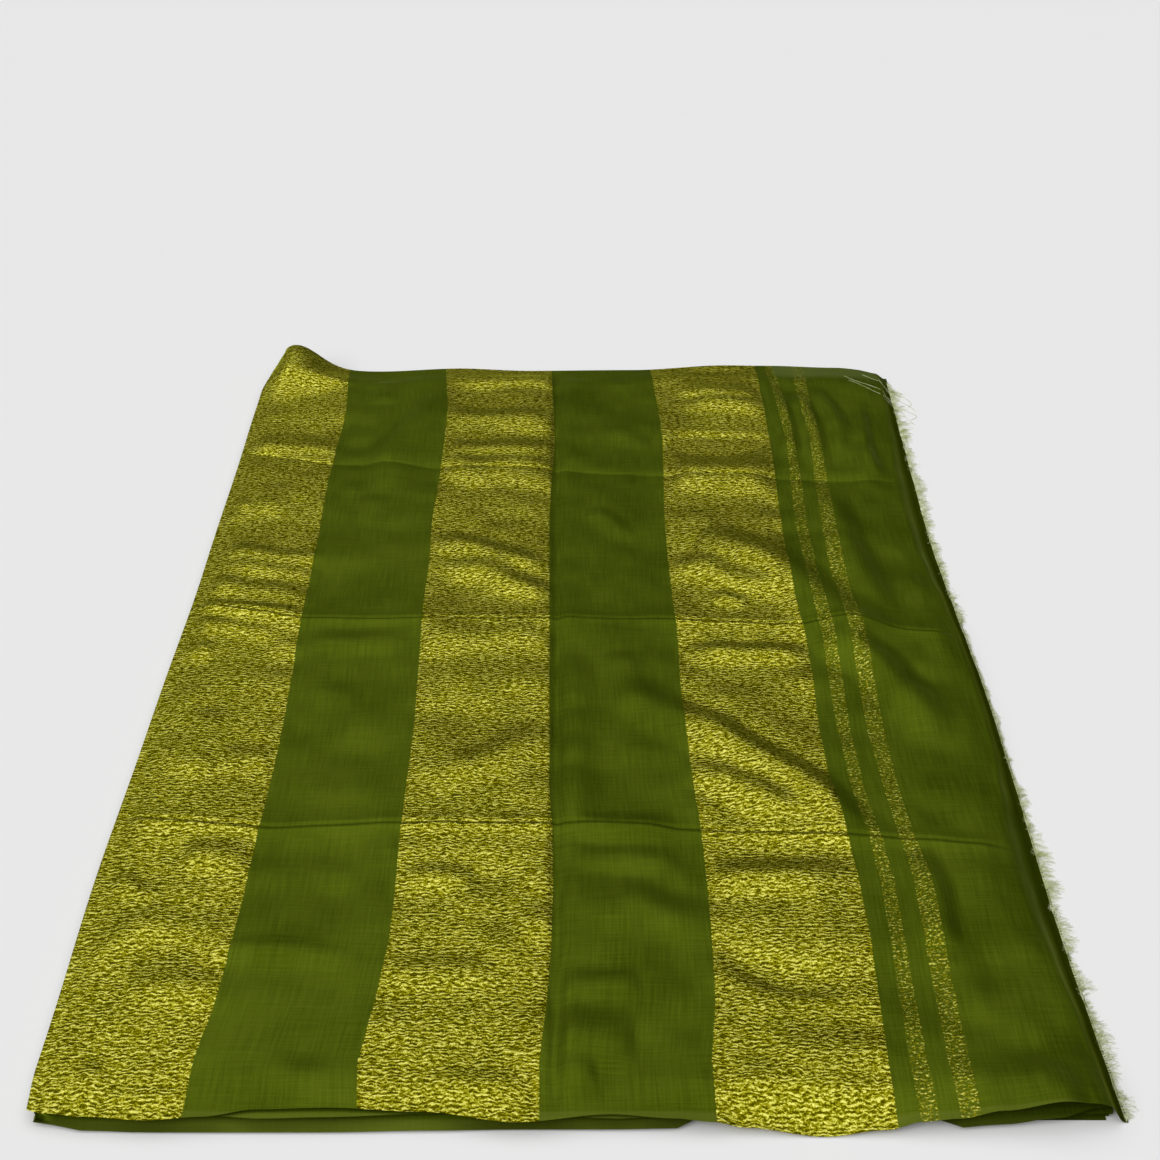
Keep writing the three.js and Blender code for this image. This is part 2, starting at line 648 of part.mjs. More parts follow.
function fringeGeometry() {
  let fringe = toManifold(stripGeometry());
  const count = Math.floor((stripFarY - stripNearY) / THREAD_PITCH);
  for (let index = 0; index < count; index += 1) {
    const y = stripNearY + (index + 0.5) * THREAD_PITCH + threadValue('place', index);
    const reach = alongTable(RIGHT_SIDE, 'y', 'threads', y) * threadValue('length', index);
    const length = Math.max(SHORTEST_THREAD, reach);
    const thread = threadGeometry(y, length, threadValue('swing', index), threadValue('bend', index));
    fringe = fringe.add(toManifold(thread));
  }
  return toGeometry(fringe);
}

function clothMaterial(name, color, roughness) {
  return new THREE.MeshStandardMaterial({ name, color, roughness, metalness: 0 });
}

function pieceMesh(name, geometry, material) {
  geometry.computeVertexNormals();
  const mesh = new THREE.Mesh(geometry, material);
  mesh.name = name;
  return mesh;
}

const tussarSilk = clothMaterial('tussar_silk', TUSSAR_GREEN, SILK_ROUGHNESS);
const looseThreads = clothMaterial('loose_threads', FRINGE_GREEN, THREAD_ROUGHNESS);
const sari = new THREE.Group();
sari.add(pieceMesh('sari_cloth', sheetGeometry(clothColumns(), THICKNESS), tussarSilk));
sari.add(pieceMesh('pallu_fringe', fringeGeometry(), looseThreads));

// The origin is the middle of the underside's box
const box = new THREE.Box3().setFromObject(sari);
const centre = box.getCenter(new THREE.Vector3());
sari.position.set(-centre.x, -centre.y, -box.min.z);

export default sari;
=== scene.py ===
"""Looks of the folded tussar silk sari: one thin sheet of cloth, its woven bands and loose threads.

Tables and folds are in millimetres in the cloth's own layout, with X along the cloth's length, Y across
its width and Z up. They become metres in the row frame when a mesh is made.
"""

import math
from functools import partial

import bpy
import numpy as np
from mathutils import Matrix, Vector


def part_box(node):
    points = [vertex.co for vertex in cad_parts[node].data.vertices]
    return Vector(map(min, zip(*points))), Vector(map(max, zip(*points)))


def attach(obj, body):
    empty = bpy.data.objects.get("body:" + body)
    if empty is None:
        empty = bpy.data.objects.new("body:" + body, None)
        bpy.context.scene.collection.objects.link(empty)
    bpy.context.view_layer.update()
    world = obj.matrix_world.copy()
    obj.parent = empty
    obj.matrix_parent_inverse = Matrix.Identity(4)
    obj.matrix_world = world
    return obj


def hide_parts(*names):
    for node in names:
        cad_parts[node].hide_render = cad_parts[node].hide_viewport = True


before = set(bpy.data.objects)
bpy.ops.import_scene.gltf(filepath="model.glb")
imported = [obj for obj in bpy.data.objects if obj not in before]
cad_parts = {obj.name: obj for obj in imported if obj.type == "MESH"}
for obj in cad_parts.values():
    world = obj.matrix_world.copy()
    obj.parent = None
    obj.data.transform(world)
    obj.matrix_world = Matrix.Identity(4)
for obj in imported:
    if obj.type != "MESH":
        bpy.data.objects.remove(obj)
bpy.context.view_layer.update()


def table(columns, rows):
    """Named columns of a table as arrays."""
    return dict(zip(columns.split(), np.array(rows, float).T))


MM = 0.001

# Stack of layers: half the cloth's thickness, pitch, edges, and the left side's bulge and near corner
HALF = 0.5
LAYER_PITCH = 1.5
NEAR_Y, FAR_Y = -547.0, 547.0
LEFT_X = -354.0
LEFT_BULGE, LEFT_BULGE_Y, LEFT_BULGE_WIDTH = 3.2, -330, 190
NEAR_CORNER_ROUND, NEAR_CORNER_OVER_Y = 3, 45
LAYER_COUNT = 8

# Layers from the top down: how far each stops short of the near and far edges, its share of the near
# arch and of the raised corner, and the inset of the fold or end that closes it
NEAR_INSET = (0, 1, 0, 14, 11, 14, 12, 10)
FAR_INSET = (-8, 27, 14, 11, 6, 10, 4, 8)
ARCH_SHARE = (1, 0.5, 0.22, 0, 0, 0, 0, 0)
CORNER_SHARE = (1, 0.93, 0.5, 0.43, 0, 0, 0, 0)
CLOSE_INSET = (0, 5, 6, 2, 3, 3, 8, 6)

# Slow wander of the folded ends and far edges: height, reach and turn from layer to layer
END_WANDER = ((1.3, 95, 1.9), (0.8, 41, 0.7))
LEFT_WANDER_SHARE, RIGHT_WANDER_SHARE = 0.5, 0.6
FAR_WANDER = (1.2, 70, 1.7)

# Rounding of the far left corner
CORNER_ROUND, CORNER_ROUND_FROM_Y, CORNER_ROUND_TO_Y = 17, 500, 561

# Right side: where the top layer drops off the stack, its cut end, and the reach of the threads
RIGHT_SIDE = table("y brow end threads", [
    (-547, 342, 350, 8),
    (-505, 341, 349, 10),
    (-460, 339, 348, 11),
    (-400, 334, 346.5, 11),
    (-340, 328, 346, 11),
    (-300, 325, 346.5, 12),
    (-261, 326, 347, 13),
    (-212, 334, 348, 7),
    (-160, 340, 348.5, 5),
    (-100, 341, 349, 4),
    (-48, 340.5, 348.5, 4),
    (0, 339, 347, 5),
    (67, 335, 345, 8),
    (118, 329, 343.5, 9),
    (160, 325, 342.5, 11),
    (229, 324, 343, 15),
    (311, 327, 345, 12),
    (400, 336, 347, 12),
    (480, 340, 349, 16),
    (530, 342, 350, 13),
    (547, 342, 350, 9),
])
BROW_BEFORE, BROW_BACK, FLAP = 14, 5, 2

# Near edge: how far the upper layers reach out, how the top one rises and the third one droops
NEAR_EDGE = table("x reach0 rise reach1 reach2 droop", [
    (-360, -11, -0.6, -13, -9, 3),
    (-338, -6, 0, -13, -4, 5),
    (-315, -3, 0.5, -13, 0, 6),
    (-274, 0, 0.5, -11, 1, 6.5),
    (-240, -3, 0.5, -5, 1, 6.5),
    (-205, -9, 0.5, -2, 1, 6.5),
    (-160, -10, 1, -3, 1, 6.5),
    (-100, -7, 0.5, -6, 0, 6),
    (-40, 1, 0, -8, -1, 6),
    (20, -5, 0.5, -2, -1, 6),
    (60, -2, 0, -4, -1, 5),
    (84, 0, -1, -11, -9, 0),
    (104, 1, -5, -17, -15, 0),
    (155, 4, -10, -19, -18, 0),
    (195, 2, -6, -18, -16, 0),
    (216, 0, -1, -12, -9, 0),
    (240, -1, 1, -5, -1, 4.5),
    (268, -3, 6, -5, -3, 5),
    (308, -5, 12, -8, -6, 3),
    (326, -8, 7, -13, -11, 0),
    (350, -8, 0, -18, -16, 0),
])
LIFT_DEPTH, DROOP_DEPTH, THIRD_DROOP_DEPTH = 62, 34, 20

# Far edge, and the raised corner at its left end
FAR_EDGE = table("x reach rise", [
    (-360, 0, 0),
    (-230, -3, 0),
    (-136, 1, 2),
    (-60, -2, 0.5),
    (60, 1, 0),
    (165, 4, 4.5),
    (215, 6, 3),
    (290, 3, 2),
    (345, -4, 0),
])
FAR_CREST_INSIDE, FAR_FALL, FAR_RISE_DEPTH = 46, 4.4, 90
CORNER_X, CORNER_HEIGHT, CORNER_BACK = -325, 21, 15
CORNER_LEFT_WIDTH, CORNER_RIGHT_WIDTH = 27, 38
CORNER_FROM_Y, CORNER_OVER_Y = 462, 95

# Slack of the top layer, its fade towards the edges, and the deepest that a trough may go
SLACK, SLACK_FADE, EDGE_FADE, DEEPEST = 2.6, 26, 34, -0.6

# Storage creases from near to far: height, near and far fall-off, points
CREASES = (
    (3.2, 13, 10, ((-360, -252), (-236, -266), (-137, -260), (-20, -260), (91, -268), (204, -275),
                   (350, -288))),
    (3.6, 14, 10, ((-360, 54), (-300, 36), (-250, 24), (-24, 25), (90, 24), (249, 11), (350, -1))),
    (-2.2, 22, 8, ((-360, 352), (-259, 324), (-144, 313), (-28, 309), (122, 294), (244, 290),
                   (350, 286))),
)
NOTCH_DEPTH, NOTCH_BEYOND, NOTCH_WIDTH = 1.4, 4, 2.6

# Guides of the grid rows: the near edge, the creases and the far edge
LAST_GUIDE = len(CREASES) + 1
MIDDLE_GUIDE = 2

# Crease along the middle of the cloth, and the soft roll on its right
MIDDLE_X_NEAR, MIDDLE_X_FAR = -20, -31
MIDDLE_DEPTH, MIDDLE_WIDTH, MIDDLE_RIGHT = 2.4, 5, 5
ROLL_AT, ROLL_HEIGHT, ROLL_WIDTH = 18, 1.2, 12

# Soft folds: height, width of the near and the far side, and a path along the middle of the steeper side
FOLDS = (
    # Long folds that run down to the right
    (10.0, 42, 26, ((53, -61), (67, -78), (85, -105), (110, -123), (131, -147), (151, -167), (171, -184),
                   (187, -201), (199, -220), (211, -239), (222, -253), (236, -276))),
    (6.8, 28, 22, ((86, -174), (111, -190), (131, -205), (149, -220), (163, -234), (180, -252))),
    (11.0, 46, 42, ((88, 192), (121, 195), (140, 183), (162, 164), (180, 149), (196, 131), (211, 113),
                   (225, 90), (240, 61), (253, 42), (268, 12), (276, -10), (287, -36), (300, -68))),
    (9.0, 30, 32, ((192, 20), (206, -5), (218, -23), (231, -41), (243, -56), (254, -81), (265, -110),
                   (274, -142), (281, -170))),
    (6.0, 26, 24, ((82, 140), (119, 131), (141, 110), (163, 95), (188, 80))),
    (3.4, 18, 16, ((125, 78), (158, 61))),
    # Curved bunch at the far right
    (6.0, 16, 16, ((195, 530), (209, 468), (214, 415), (213, 360), (205, 300))),
    (7.0, 18, 18, ((226, 490), (236, 435), (240, 370), (234, 305))),
    (6.1, 18, 18, ((248, 498), (264, 440), (266, 390), (260, 325))),
    (7.0, 29, 26, ((250, 300), (262, 240), (266, 180), (272, 120), (282, 60), (292, 0))),
    (5.6, 26, 12, ((316, 482), (308, 404), (306, 348), (312, 296))),
    # Plain green at the right, and its fall towards the end
    (5.6, 22, 18, ((260, -284), (267, -352), (262, -400))),
    (2.2, 24, 20, ((274, -390), (279, -430), (278, -470))),
    (6.0, 30, 30, ((318, -262), (322, -340), (328, -400), (331, -470), (334, -540))),
    # Green between the second and third gold bands
    (4.0, 26, 26, ((22, -24), (27, -70), (35, -122))),
    (2.6, 18, 16, ((16, 234), (36, 208), (52, 168))),
    (4.2, 33, 33, ((-22, -356), (15, -362), (43, -373), (65, -380), (94, -399))),
    (2.8, 20, 18, ((-14, -418), (44, -420))),
    (4.0, 34, 32, ((-16, -459), (40, -463))),
    (1.9, 18, 16, ((-18, -498), (12, -500))),
    (2.6, 22, 22, ((-10, -273), (76, -275))),
    (2.4, 20, 20, ((-10, -308), (76, -309))),
    (1.8, 20, 24, ((-17, -30), (-12, -72), (-17, -108))),
    (2.4, 20, 24, ((-16, -100), (-10, -145), (-16, -190))),
    (1.8, 20, 24, ((-17, -182), (-12, -218), (-17, -254))),
    # Third gold band, near and far
    (3.4, 26, 24, ((86, -307), (140, -307), (200, -306))),
    (-3.6, 18, 30, ((86, -412), (113, -418), (131, -428), (147, -433), (164, -436), (188, -437))),
    (4.7, 24, 19, ((88, -14), (150, -15), (206, -18))),
    (7.4, 40, 60, ((88, 277), (140, 272), (204, 268))),
    (-5.8, 50, 22, ((88, 389), (150, 387), (206, 385))),
    (4.6, 30, 34, ((118, 456), (160, 447), (206, 440))),
    (4.6, 17, 34, ((98, 478), (150, 476), (206, 472))),
    (-3.0, 30, 30, ((92, 544), (150, 537), (202, 534))),
    # Second gold band
    (4.4, 38, 30, ((-148, 438), (-85, 437), (-24, 436))),
    (3.4, 24, 44, ((-148, 496), (-85, 508), (-24, 505))),
    (3.8, 22, 24, ((-148, 344), (-85, 342), (-24, 340))),
    (6.6, 45, 52, ((-148, 288), (-85, 286), (-24, 284))),
    (4.2, 28, 22, ((-150, 180), (-100, 165), (-60, 140), (-24, 126))),
    (4.6, 26, 24, ((-140, 126), (-88, 122), (-45, 92), (-22, 76))),
    (3.4, 34, 34, ((-150, -17), (-85, -18), (-16, -16))),
    (4.6, 30, 28, ((-134, -200), (-103, -178), (-82, -168), (-60, -148), (-30, -121))),
    (2.6, 20, 18, ((-136, -309), (-74, -309))),
    (2.0, 24, 22, ((-140, -406), (-54, -406))),
    (2.0, 24, 22, ((-144, -512), (-85, -512), (-26, -512))),
    (2.4, 10, 10, ((-148, -530), (-132, -536), (-114, -532))),
    # First gold band, at the left
    (3.0, 18, 34, ((-352, 505), (-300, 505), (-246, 507))),
    (2.6, 18, 34, ((-352, 352), (-300, 350), (-246, 345))),
    (2.4, 14, 14, ((-353, 238), (-332, 220))),
    (1.8, 12, 12, ((-353, 215), (-334, 203))),
    (2.8, 20, 18, ((-336, 160), (-290, 146), (-236, 140))),
    (2.4, 18, 17, ((-334, 129), (-288, 122), (-236, 111))),
    (2.2, 22, 22, ((-350, 79), (-297, 67), (-246, 53))),
    (2.4, 18, 12, ((-354, 58), (-302, 52), (-246, 42))),
    (2.0, 18, 12, ((-352, 37), (-312, 22), (-256, 5))),
    (2.6, 22, 22, ((-357, -33), (-318, -33))),
    (3.0, 30, 30, ((-324, -106), (-322, -155), (-324, -202))),
    (2.6, 24, 24, ((-292, -188), (-244, -188))),
    (3.2, 26, 26, ((-300, -310), (-244, -310))),
    (2.6, 16, 15, ((-340, -310), (-322, -326), (-306, -340))),
    (2.8, 34, 30, ((-328, -353), (-287, -360), (-238, -370))),
    (2.2, 18, 15, ((-268, -388), (-229, -388), (-198, -390), (-156, -398))),
    (2.8, 24, 24, ((-318, -447), (-275, -448), (-236, -447))),
    (2.0, 14, 12, ((-308, -525), (-252, -525))),
    (2.2, 13, 13, ((-324, -498), (-323, -522), (-325, -545))),
    # Green between the first and second gold bands
    (7.0, 26, 52, ((-160, 520), (-178, 450), (-196, 395), (-214, 340), (-212, 285), (-204, 240))),
    (2.4, 22, 20, ((-210, 520), (-206, 490), (-203, 456))),
    (2.2, 22, 20, ((-222, 326), (-219, 288), (-221, 250))),
    (1.8, 20, 18, ((-196, 256), (-194, 222), (-195, 190))),
    (2.5, 24, 24, ((-246, -22), (-142, -20))),
)
FOLD_END_SHARE, FOLD_PATH_STEPS = 0.3, 6

# Small random unevenness: spacing and height of its lumps, low corner and size of their grid
CRUMPLES = ((52, 1.0), (25, 0.6))
CRUMPLE_LOW, CRUMPLE_SIZE = (-380, -590), (760, 1180)

# Columns of the top layer: how many in each part, and how strongly they gather at its ends
LEFT_COLUMNS, RIGHT_COLUMNS, BROW_COLUMNS, FLAP_COLUMNS = 104, 112, 15, 2
GATHER, RIGHT_GATHER = 0.5, 0.35

# Rows of the grid, places across the lower layers, and steps around each folded end
TOP_ROWS = 78
LOWER_ROWS = (0, 0.008, 0.018, 0.032, 0.06, 0.12, 0.25, 0.5, 0.75, 1, 1.33, 1.67, 2, 2.33, 2.67,
              3, 3.3, 3.55, 3.72, 3.84, 3.93, 4)
LOWER_PLACES = np.linspace(0.018, 0.982, 41)
FOLD_STEPS = 8


def smooth(low, high, value):
    t = np.clip((value - low) / (high - low), 0, 1)
    return t * t * (3 - 2 * t)


def bell(distance, width):
    return np.exp(-((distance / width) ** 2))


def along(columns, key, column, place):
    """Value of a column at a place between a table's rows, eased between them."""
    keys, values = columns[key], columns[column]
    place = np.clip(place, keys[0], keys[-1])
    upper = np.clip(np.searchsorted(keys, place), 1, len(keys) - 1)
    share = smooth(keys[upper - 1], keys[upper], place)
    return values[upper - 1] + (values[upper] - values[upper - 1]) * share


def crease_y(crease, x):
    """Y of a crease at an X, in straight stretches that also run on past its ends."""
    points = np.array(crease[3], float)
    upper = np.clip(np.searchsorted(points[:, 0], x), 1, len(points) - 1)
    low, high = points[upper - 1], points[upper]
    share = (x - low[..., 0]) / (high[..., 0] - low[..., 0])
    return low[..., 1] + (high[..., 1] - low[..., 1]) * share


def wander(wave, place, layer):
    height, reach, turn = wave
    return height * np.sin(place / reach + layer * turn)


def brow_x(y):
    return along(RIGHT_SIDE, "y", "brow", y)


def end_x(y):
    return along(RIGHT_SIDE, "y", "end", y)


def brow_start(y):
    return brow_x(y) - BROW_BEFORE


def brow_foot(y):
    return end_x(y) - FLAP


def middle_x(y):
    return MIDDLE_X_NEAR + (MIDDLE_X_FAR - MIDDLE_X_NEAR) * (y - NEAR_Y) / (FAR_Y - NEAR_Y)


def left_x(y):
    bulge = LEFT_BULGE * bell(y - LEFT_BULGE_Y, LEFT_BULGE_WIDTH)
    return LEFT_X - bulge + NEAR_CORNER_ROUND * (1 - smooth(NEAR_Y, NEAR_Y + NEAR_CORNER_OVER_Y, y))


def closing_x(layer, y):
    """X of the fold or end that closes a layer: left for even layers, right for odd ones."""
    wandering = sum(wander(wave, y, layer) for wave in END_WANDER)
    if layer % 2:
        return brow_x(y) - CLOSE_INSET[layer] + RIGHT_WANDER_SHARE * wandering
    rounding = CORNER_ROUND * CORNER_SHARE[layer] * smooth(CORNER_ROUND_FROM_Y, CORNER_ROUND_TO_Y, y)
    return left_x(y) + CLOSE_INSET[layer] + rounding + LEFT_WANDER_SHARE * wandering


def corner_bell(x):
    return bell(x - CORNER_X, np.where(x < CORNER_X, CORNER_LEFT_WIDTH, CORNER_RIGHT_WIDTH))


def corner_lift(x, y):
    return corner_bell(x) * smooth(CORNER_FROM_Y, CORNER_FROM_Y + CORNER_OVER_Y, y)


def near_edge_y(layer, x):
    edge = NEAR_Y + NEAR_INSET[layer]
    return edge - along(NEAR_EDGE, "x", f"reach{layer}", x) if layer < 3 else edge + 0 * x


def far_edge_y(layer, x):
    wave = along(FAR_EDGE, "x", "reach", x) if layer == 0 else wander(FAR_WANDER, x, layer)
    return FAR_Y - FAR_INSET[layer] + wave + CORNER_BACK * CORNER_SHARE[layer] * corner_bell(x)


def row_y(layer, x, row):
    """Y of grid rows at an X: rows follow the edges and the creases."""
    creases = [crease_y(crease, x) for crease in CREASES]
    guides = np.stack([near_edge_y(layer, x), *creases, far_edge_y(layer, x)])
    below = np.minimum(np.floor(row).astype(int), LAST_GUIDE - 1)
    index = np.arange(len(row))
    low, high = guides[below, index], guides[below + 1, index]
    return low + (high - low) * (row - below)


def spline(points, steps):
    """A smooth path through points, as many short stretches."""
    p = np.array(points, float)
    p = np.vstack([p[0], p, p[-1]])
    path = []
    for i in range(1, len(p) - 2):
        for t in np.arange(steps) / steps:
            a = (p[i + 1] - p[i - 1]) * 0.5
            b = (p[i + 2] - p[i]) * 0.5
            d = p[i + 1] - p[i]
            path.append(p[i] + a * t + (3 * d - 2 * a - b) * t ** 2 + (a + b - 2 * d) * t ** 3)
    return np.array([*path, p[-2]])


def beside_path(path, x, y):
    """Signed distance from a path, positive on its far side, and the share of the way along it."""
    start, step = path[:-1], np.diff(path, axis=0)
    dx, dy = x[:, None] - start[:, 0], y[:, None] - start[:, 1]
    t = np.clip((dx * step[:, 0] + dy * step[:, 1]) / (step ** 2).sum(1), 0, 1)
    px, py = dx - t * step[:, 0], dy - t * step[:, 1]
    distance = np.hypot(px, py)
    place = np.arange(len(x)), distance.argmin(1)
    side = np.sign(step[:, 0] * py - step[:, 1] * px)[place]
    share = (place[1] + t[place]) / len(step)
    return side * distance[place], share


FOLD_PATHS = [spline(points, FOLD_PATH_STEPS) for *_, points in FOLDS]


def folds_height(x, y):
    """Height that the soft folds add at places."""
    total = np.zeros(x.shape)
    for (height, near, far, _), path in zip(FOLDS, FOLD_PATHS):
        low, high = path.min(0) - near - far, path.max(0) + near + far
        inside = (x > low[0]) & (x < high[0]) & (y > low[1]) & (y < high[1])
        if not inside.any():
            continue
        signed, share = beside_path(path, x[inside], y[inside])
        crest = -far / 2 if far < near else near / 2
        profile = smooth(crest - near, crest, signed) * (1 - smooth(crest, crest + far, signed))
        ends = smooth(0, FOLD_END_SHARE, share) * smooth(0, FOLD_END_SHARE, 1 - share)
        total[inside] += height * ends * profile
    return total


def lumps(spacing, seed):
    """A random height for each corner of a coarse grid over the cloth."""
    rng = np.random.default_rng(seed)
    return rng.normal(0, 1, [int(size / spacing) + 3 for size in CRUMPLE_SIZE])


LUMP_GRIDS = [lumps(spacing, seed) for seed, (spacing, _) in enumerate(CRUMPLES)]


def crumple_height(x, y):
    """Small random unevenness of the top layer."""
    total = np.zeros(x.shape)
    for (spacing, height), grid in zip(CRUMPLES, LUMP_GRIDS):
        u, v = (x - CRUMPLE_LOW[0]) / spacing, (y - CRUMPLE_LOW[1]) / spacing
        i, j = np.floor(u).astype(int), np.floor(v).astype(int)
        a, b = smooth(0, 1, u - i), smooth(0, 1, v - j)
        low = grid[i, j] + (grid[i + 1, j] - grid[i, j]) * a
        high = grid[i, j + 1] + (grid[i + 1, j + 1] - grid[i, j + 1]) * a
        total += height * (low + (high - low) * b)
    return total


def crease_height(x, y):
    total = np.zeros(x.shape)
    for crease in CREASES:
        distance = y - crease_y(crease, x)
        length = np.where(distance > 0, crease[2], crease[1])
        total += crease[0] * np.exp(-np.abs(distance) / length)
        if crease[0] > 0:
            total -= NOTCH_DEPTH * bell(distance - NOTCH_BEYOND, NOTCH_WIDTH)
    from_middle = x - middle_x(y)
    total -= MIDDLE_DEPTH * bell(from_middle - MIDDLE_RIGHT, MIDDLE_WIDTH)
    total += ROLL_HEIGHT * bell(from_middle - ROLL_AT, ROLL_WIDTH)
    return total


def top_relief(x, y):
    """Height of the top layer over its nominal height, before it drops off the stack."""
    inside = smooth(LEFT_X, LEFT_X + SLACK_FADE, x) * (1 - smooth(brow_x(y) - SLACK_FADE, brow_x(y), x))
    from_near = y - near_edge_y(0, x)
    from_far = far_edge_y(0, x) - y
    rise = along(NEAR_EDGE, "x", "rise", x)
    depth = np.where(rise > 0, LIFT_DEPTH, DROOP_DEPTH)
    away = smooth(0, EDGE_FADE, from_near) * smooth(0, EDGE_FADE, from_far)
    slack = SLACK * inside * smooth(0, DROOP_DEPTH, from_near)
    folds = inside * away * (crease_height(x, y) + folds_height(x, y) + crumple_height(x, y))
    relief = np.maximum(slack + folds, DEEPEST)
    relief += rise * (1 - smooth(0, depth, from_near))
    relief += along(FAR_EDGE, "x", "rise", x) * (1 - smooth(0, FAR_RISE_DEPTH, from_far))
    relief -= FAR_FALL * (1 - smooth(0, FAR_CREST_INSIDE, from_far)) * (1 - corner_lift(x, y))
    return relief


def layer_z(layer, x, y):
    nominal = HALF + (LAYER_COUNT - 1 - layer) * LAYER_PITCH
    lift = CORNER_HEIGHT * CORNER_SHARE[layer] * corner_lift(x, y)
    if layer == 0:
        on_stack = nominal + top_relief(x, y) + lift
        down = smooth(brow_x(y) - BROW_BACK, brow_foot(y), x)
        return on_stack + (HALF - on_stack) * down
    from_near = y - near_edge_y(layer, x)
    rise = np.maximum(0, along(NEAR_EDGE, "x", "rise", x))
    arch = ARCH_SHARE[layer] * rise * (1 - smooth(0, LIFT_DEPTH, from_near))
    droop = 0
    if layer == 2:
        droop = along(NEAR_EDGE, "x", "droop", x) * (1 - smooth(0, THIRD_DROOP_DEPTH, from_near))
    return nominal + arch + lift - droop


def layer_points(layer, rows, x_at_y):
    """Points of a layer on its grid rows, at an X that may depend on Y."""
    x = x_at_y(NEAR_Y + (FAR_Y - NEAR_Y) * rows / LAST_GUIDE)
    y = row_y(layer, x, rows)
    x = x_at_y(y)
    return np.stack([x, y, layer_z(layer, x, y)], -1)


def gathered(count, ends=GATHER):
    """Shares from 0 to 1 that lie closer together near both ends."""
    t = np.linspace(0, 1, count + 1)
    return t - ends * np.sin(2 * np.pi * t) / (2 * np.pi)


def top_rows():
    share = gathered(TOP_ROWS)[:-1]
    return np.array([*(guide + s for guide in range(LAST_GUIDE) for s in share), LAST_GUIDE])


def between(share, low, high):
    return lambda y: low(y) + (high(y) - low(y)) * share


def cloth_columns():
    """Columns from the cut end on top down to the end of the lowest layer: rows and points of each."""
    fine, plain = top_rows(), np.array(LOWER_ROWS)
    top = [between(s, partial(closing_x, 0), middle_x) for s in gathered(LEFT_COLUMNS)[1:]]
    top += [between(s, middle_x, brow_start) for s in gathered(RIGHT_COLUMNS, RIGHT_GATHER)[1:]]
    top += [between(s, brow_start, brow_foot) for s in np.linspace(0, 1, BROW_COLUMNS + 1)[1:]]
    top += [between(s, brow_foot, end_x) for s in np.linspace(0, 1, FLAP_COLUMNS + 1)[1:]]
    columns = [(fine, layer_points(0, fine, place)) for place in reversed(top)]
    for upper in range(LAYER_COUNT - 1):
        rows = fine if upper == 0 else plain
        fold = partial(closing_x, upper)
        high, low = layer_points(upper, rows, fold), layer_points(upper + 1, rows, fold)
        outward = 1 if upper % 2 else -1
        radius = (high[:, 2] - low[:, 2]) / 2
        for angle in np.linspace(0, np.pi, FOLD_STEPS + 1):
            points = high + (low - high) * (1 - math.cos(angle)) / 2
            points[:, 0] += outward * radius * (math.sin(angle) - 1)
            columns.append((rows, points))
        columns += lower_columns(upper + 1, plain)
    last = LAYER_COUNT - 1
    columns.append((plain, layer_points(last, plain, partial(closing_x, last))))
    return columns


def lower_columns(layer, rows):
    left_layer, right_layer = (layer, layer - 1) if layer % 2 == 0 else (layer - 1, layer)
    left, right = partial(closing_x, left_layer), partial(closing_x, right_layer)
    places = [between(s, left, right) for s in LOWER_PLACES]
    if layer % 2 == 0:
        places.reverse()
    return [(rows, layer_points(layer, rows, place)) for place in places]


def join_columns(first, second, first_start, second_start, faces):
    """Triangles and quads between two columns that may have different rows."""
    if len(first) == len(second) and np.allclose(first, second):
        for j in range(len(first) - 1):
            faces.append((first_start + j, first_start + j + 1, second_start + j + 1, second_start + j))
        return
    i = j = 0
    while i < len(first) - 1 or j < len(second) - 1:
        if j == len(second) - 1 or (i < len(first) - 1 and first[i + 1] < second[j + 1]):
            faces.append((first_start + i, first_start + i + 1, second_start + j))
            i += 1
        else:
            faces.append((first_start + i, second_start + j + 1, second_start + j))
            j += 1


# Woven bands of the pallu: where each edge really runs, from near to far, and its place on the loom
BAND_EDGES = (-248, -141, -26, 85, 199, 213, 225, 239, 251)
LOOM_END = 345
BAND_PATHS = table("y e0 e1 e2 e3 e4 e5 e6 e7 e8", [
    (-540, -252.5, -142, -26.5, 84.5, 200.6, 215, 227.4, 241.3, 251.5),
    (-500, -253, -145.5, -27.2, 83.8, 200.5, 214.8, 226.7, 240, 251.5),
    (-444, -247, -139.5, -23.3, 89.8, 202.7, 217, 228.3, 242, 253.6),
    (-385, -245.5, -135, -20.7, 91, 204.5, 218.6, 229, 243, 254.5),
    (-322, -245, -135.8, -20.4, 91, 204.2, 220, 231, 244.5, 255.3),
    (-265, -245, -137, -21.8, 90, 201.7, 217.5, 227.5, 241.6, 251.1),
    (-210, -244.7, -137, -25, 87, 196.5, 212.5, 222.8, 238.5, 247.6),
    (-138, -245, -136.6, -25.3, 84.5, 196, 211, 221.8, 235.5, 247),
    (-66, -247, -139, -26.9, 83.3, 198.6, 211.2, 224.5, 237, 247.6),
    (-5, -249.5, -140.6, -27.2, 84.3, 199.2, 212.8, 224.2, 236.2, 249),
    (60, -251, -143, -28.5, 82.7, 195, 209.5, 221.8, 236.2, 246.2),
    (131, -252, -142.5, -29.4, 81.3, 194.5, 210, 221.5, 233.7, 245.5),
    (206, -254, -145.3, -30.8, 80.6, 196.5, 210, 222, 235.8, 246.5),
    (287, -256.5, -143.5, -29.7, 83, 198.3, 213.6, 225.5, 239, 250),
    (375, -256, -143.5, -27, 85, 200, 216.8, 225.3, 243, 251),
    (440, -255, -144, -29.3, 83.3, 200, 214.5, 225.4, 240, 249),
    (550, -263, -153, -33, 78, 199, 210, 221, 241, 253),
])


